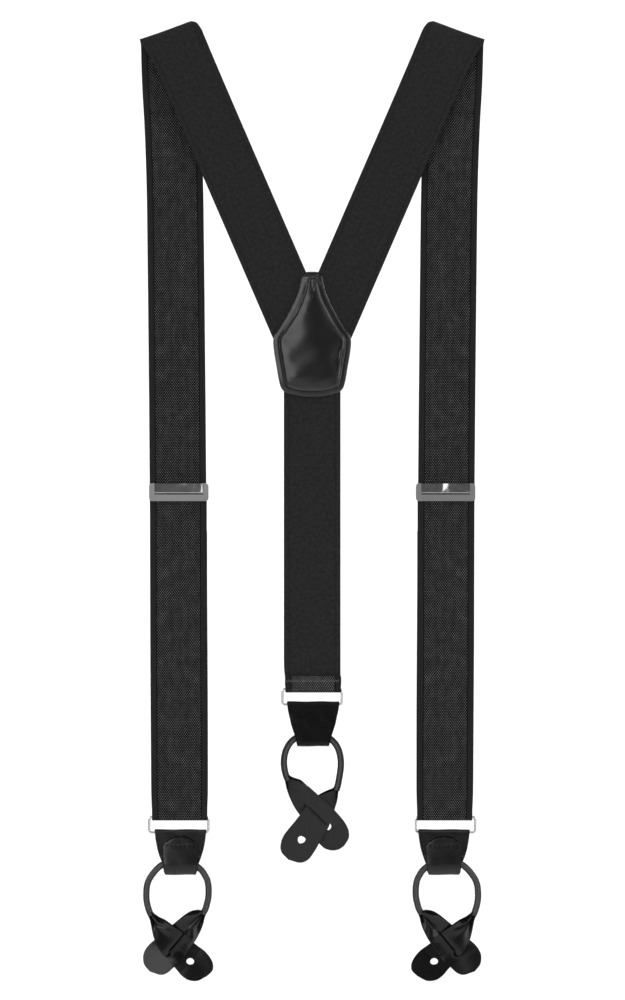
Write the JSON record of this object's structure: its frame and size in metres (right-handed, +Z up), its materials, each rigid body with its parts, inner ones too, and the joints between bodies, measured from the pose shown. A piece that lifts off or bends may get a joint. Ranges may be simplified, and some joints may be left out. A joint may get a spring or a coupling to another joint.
{
  "type": "suspenders",
  "caption": "Y-back button suspenders: elastic webbing over both shoulders, leather back patch, lever adjusters, and leather cord ends with buttonhole ears.",
  "frame": {"origin": "midway between the two shoulder folds, level with the upper edge of the fold axes, on the near face of the back straps", "axes": "+Z up as it hangs, +Y from the back part towards the front straps, +X along the wearer's right when seen from behind"},
  "size_m": [0.2102, 0.0171, 0.5889],
  "materials": {
    "webbing": "woven elastic webbing, smooth outside, twill inside",
    "thread": "black sewing thread",
    "cord_filler": "twisted cotton filler",
    "stiffener": "pressed fibre sheet",
    "patch_leather": "smooth glossy black leather",
    "lining": "smooth black lining leather",
    "tab_leather": "smooth black leather",
    "ear_leather": "black leather, worn satin",
    "cord_leather": "rolled black leather",
    "polished_nickel": "polished nickel plate",
    "satin_nickel": "satin nickel plate",
    "steel": "drawn steel wire",
    "ring_nickel": "nickel plated wire"
  },
  "bodies": {
    "back": {"back_patch_face": "patch_leather", "back_patch_lining": "lining", "back_patch_stiffener": "stiffener", "back_patch_stitching": "thread", "left_strap_back": "webbing", "left_strap_shoulder_fold": "webbing", "rear_strap": "webbing", "right_strap_back": "webbing", "right_strap_shoulder_fold": "webbing"},
    "rear_end": {"rear_strap_lower": "webbing", "rear_strap_hem": "webbing", "rear_hem_stitching": "thread"},
    "rear_ring": {"rear_ring": "ring_nickel"},
    "rear_tab": {"rear_leather_tab": "tab_leather", "rear_tab_stitching": "thread"},
    "rear_loop": {"rear_rolled_cord": "cord_leather", "rear_cord_core": "cord_filler", "rear_ear_outer": "ear_leather", "rear_ear_threaded": "ear_leather"},
    "left_front": {"left_strap_upper": "webbing", "left_strap_front": "webbing"},
    "left_end": {"left_strap_front_lower": "webbing", "left_strap_ring_turn": "webbing", "left_strap_return": "webbing"},
    "left_adjuster": {"left_adjuster_frame": "satin_nickel", "left_adjuster_pin": "steel", "left_adjuster_strap_bar": "steel", "left_strap_end_loop": "webbing", "left_strap_end_stitching": "thread"},
    "left_lever": {"left_adjuster_lever": "polished_nickel"},
    "left_ring": {"left_ring": "ring_nickel"},
    "left_tab": {"left_leather_tab": "tab_leather", "left_tab_stitching": "thread"},
    "left_loop": {"left_rolled_cord": "cord_leather", "left_cord_core": "cord_filler", "left_ear_outer": "ear_leather", "left_ear_threaded": "ear_leather"},
    "right_front": {"right_strap_upper": "webbing", "right_strap_front": "webbing"},
    "right_end": {"right_strap_front_lower": "webbing", "right_strap_ring_turn": "webbing", "right_strap_return": "webbing"},
    "right_adjuster": {"right_adjuster_frame": "satin_nickel", "right_adjuster_pin": "steel", "right_adjuster_strap_bar": "steel", "right_strap_end_loop": "webbing", "right_strap_end_stitching": "thread"},
    "right_lever": {"right_adjuster_lever": "polished_nickel"},
    "right_ring": {"right_ring": "ring_nickel"},
    "right_tab": {"right_leather_tab": "tab_leather", "right_tab_stitching": "thread"},
    "right_loop": {"right_rolled_cord": "cord_leather", "right_cord_core": "cord_filler", "right_ear_outer": "ear_leather", "right_ear_threaded": "ear_leather"}
  },
  "joints": [
    {"name": "left_shoulder_fold_hinge", "type": "hinge", "parent": "back", "child": "left_front", "pos_m": [-0.087, 0.00435, -0.004], "axis": [0.9703, 0, 0.2419], "range_deg": [0, 90], "deforming": ["left_strap_shoulder_fold"]},
    {"name": "left_strap_length", "type": "slide", "parent": "left_front", "child": "left_end", "axis": [0, 0, 1], "range_m": [-0.16, 0.08], "deforming": ["left_strap_front"]},
    {"name": "left_adjuster_slide", "type": "slide", "parent": "left_end", "child": "left_adjuster", "axis": [0, 0, 1], "range_m": [-0.16, 0.08], "deforming": ["left_strap_return"]},
    {"name": "left_adjuster_lever_hinge", "type": "hinge", "parent": "left_adjuster", "child": "left_lever", "pos_m": [-0.082, 0.0064, -0.2838], "axis": [1, 0, 0], "range_deg": [0, 100]},
    {"name": "left_ring_hinge", "type": "hinge", "parent": "left_end", "child": "left_ring", "pos_m": [-0.082, 0.0104, -0.48365], "axis": [1, 0, 0], "range_deg": [-60, 60]},
    {"name": "left_tab_hinge", "type": "hinge", "parent": "left_ring", "child": "left_tab", "pos_m": [-0.082, 0.0104, -0.49305], "axis": [1, 0, 0], "range_deg": [-60, 60]},
    {"name": "left_cord_run", "type": "hinge", "parent": "left_tab", "child": "left_loop", "pos_m": [-0.082, 0.0098, -0.53], "axis": [0, 1, 0], "range_deg": [-15, 15]},
    {"name": "right_shoulder_fold_hinge", "type": "hinge", "parent": "back", "child": "right_front", "pos_m": [0.087, 0.00435, -0.004], "axis": [0.9703, 0, -0.2419], "range_deg": [0, 90], "deforming": ["right_strap_shoulder_fold"]},
    {"name": "right_strap_length", "type": "slide", "parent": "right_front", "child": "right_end", "axis": [0, 0, 1], "range_m": [-0.16, 0.08], "deforming": ["right_strap_front"]},
    {"name": "right_adjuster_slide", "type": "slide", "parent": "right_end", "child": "right_adjuster", "axis": [0, 0, 1], "range_m": [-0.16, 0.08], "deforming": ["right_strap_return"]},
    {"name": "right_adjuster_lever_hinge", "type": "hinge", "parent": "right_adjuster", "child": "right_lever", "pos_m": [0.082, 0.0064, -0.2838], "axis": [1, 0, 0], "range_deg": [0, 100]},
    {"name": "right_ring_hinge", "type": "hinge", "parent": "right_end", "child": "right_ring", "pos_m": [0.082, 0.0104, -0.48365], "axis": [1, 0, 0], "range_deg": [-60, 60]},
    {"name": "right_tab_hinge", "type": "hinge", "parent": "right_ring", "child": "right_tab", "pos_m": [0.082, 0.0104, -0.49305], "axis": [1, 0, 0], "range_deg": [-60, 60]},
    {"name": "right_cord_run", "type": "hinge", "parent": "right_tab", "child": "right_loop", "pos_m": [0.082, 0.0098, -0.53], "axis": [0, 1, 0], "range_deg": [-15, 15]},
    {"name": "rear_strap_stretch", "type": "slide", "parent": "back", "child": "rear_end", "axis": [0, 0, -1], "range_m": [0, 0.06], "stiffness_N_per_m": 120, "springref_m": -0.003, "deforming": ["rear_strap"]},
    {"name": "rear_ring_hinge", "type": "hinge", "parent": "rear_end", "child": "rear_ring", "pos_m": [0, 0.0001, -0.4048], "axis": [1, 0, 0], "range_deg": [-60, 60]},
    {"name": "rear_tab_hinge", "type": "hinge", "parent": "rear_ring", "child": "rear_tab", "pos_m": [0, 0.0001, -0.4142], "axis": [1, 0, 0], "range_deg": [-60, 60]},
    {"name": "rear_cord_run", "type": "hinge", "parent": "rear_tab", "child": "rear_loop", "pos_m": [0, 0.0007, -0.44995], "axis": [0, 1, 0], "range_deg": [-15, 15]}
  ],
  "couplings": [
    {"joint": "left_adjuster_slide", "follows": "left_strap_length", "ratio": 1},
    {"joint": "right_adjuster_slide", "follows": "right_strap_length", "ratio": 1}
  ]
}
